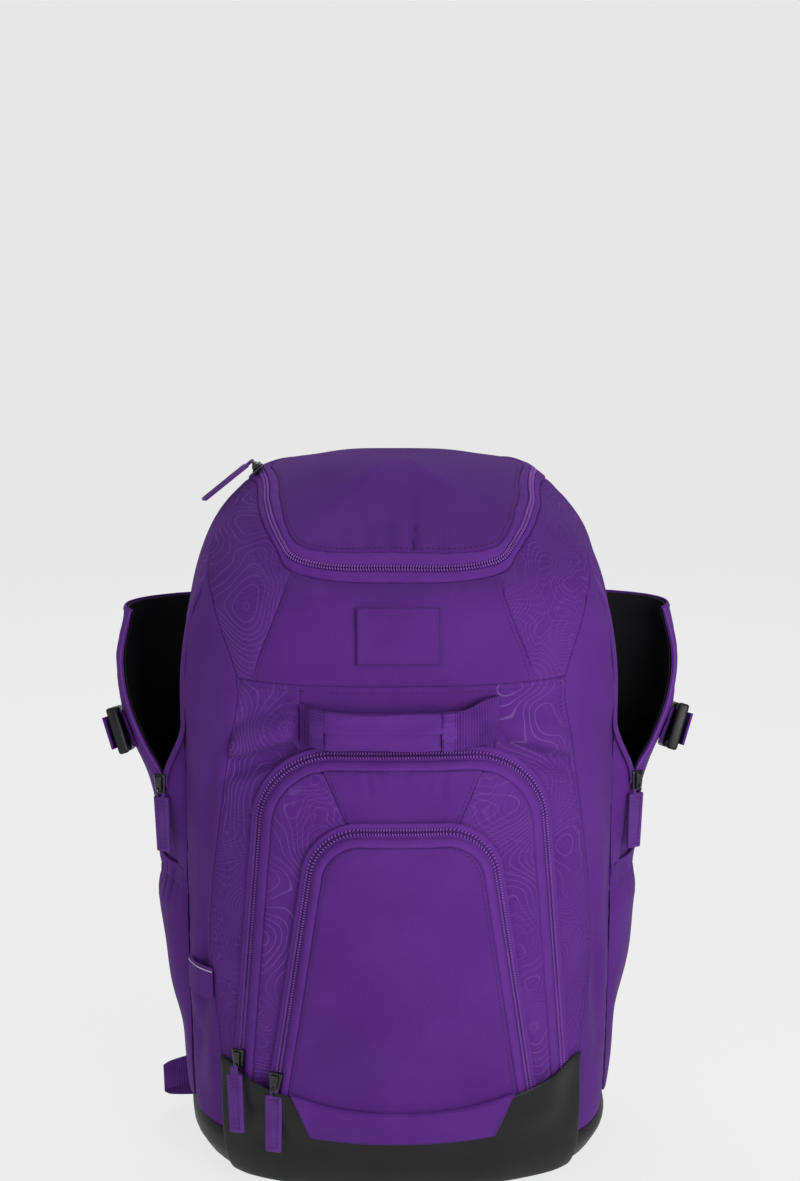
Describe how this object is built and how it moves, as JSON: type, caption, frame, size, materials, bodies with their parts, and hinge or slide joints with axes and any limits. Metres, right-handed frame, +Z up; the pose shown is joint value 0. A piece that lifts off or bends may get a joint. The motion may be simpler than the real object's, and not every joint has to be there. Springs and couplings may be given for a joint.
{
  "type": "sports equipment backpack",
  "caption": "Upright sports backpack with a domed zip lid, arched front zip pockets, flared side sleeves, a grab handle and a flat coated base.",
  "frame": {"origin": "centre of the footprint, on the plane the flat base stands on", "axes": "+Z up, -Y out of the front with the pockets, +X to the right of someone looking at the front"},
  "size_m": [0.4444, 0.2686, 0.5288],
  "materials": {
    "cloth": "matt woven purple polyester",
    "print": "matt woven purple polyester with fine contour lines",
    "smooth_cloth": "smooth purple polyester",
    "coated": "black coated heavy cloth",
    "lining": "black plain lining",
    "tape": "purple woven zip tape",
    "coil": "purple moulded coil",
    "webbing": "purple ribbed webbing",
    "hardware": "satin black plastic",
    "slider": "gloss black enamel",
    "pull": "soft moulded purple"
  },
  "bodies": {
    "root": {"lid": "cloth", "lid_band": "cloth", "lid_chain": "coil", "yoke": "cloth", "centre_panel": "cloth", "back_panel": "cloth", "shoulder_l": "print", "shoulder_r": "print", "print_l": "print", "print_r": "print", "gusset_l": "smooth_cloth", "gusset_r": "smooth_cloth", "side_wall_l": "lining", "side_wall_r": "lining", "base_cup": "coated", "base_front": "coated", "pocket_top": "cloth", "pocket_print_l": "print", "pocket_print_r": "print", "outer_tape": "tape", "outer_chain": "coil", "inner_face": "cloth", "inner_tape": "tape", "inner_chain": "coil", "tab": "cloth", "patch": "cloth", "handle_webbing": "webbing", "handle_grip": "cloth", "sleeve_l": "smooth_cloth", "sleeve_r": "smooth_cloth", "lining_l": "lining", "lining_r": "lining", "gore_l": "smooth_cloth", "gore_r": "smooth_cloth", "sleeve_zip_l": "coil", "sleeve_zip_r": "coil", "side_pocket_l": "smooth_cloth", "side_pocket_r": "smooth_cloth", "strap_l": "webbing", "strap_r": "webbing", "buckle_l": "hardware", "buckle_r": "hardware", "label": "cloth", "loop": "webbing", "outer_slider": "slider", "outer_pull": "pull", "inner_slider": "slider", "inner_pull": "pull", "lid_slider": "slider", "lid_pull": "pull", "sleeve_l_slider": "slider", "sleeve_l_pull": "pull", "sleeve_r_slider": "slider", "sleeve_r_pull": "pull", "pad_l": "smooth_cloth", "pad_r": "smooth_cloth", "adjuster_l": "hardware", "adjuster_r": "hardware", "webbing_l": "webbing", "webbing_r": "webbing"}
  },
  "joints": []
}
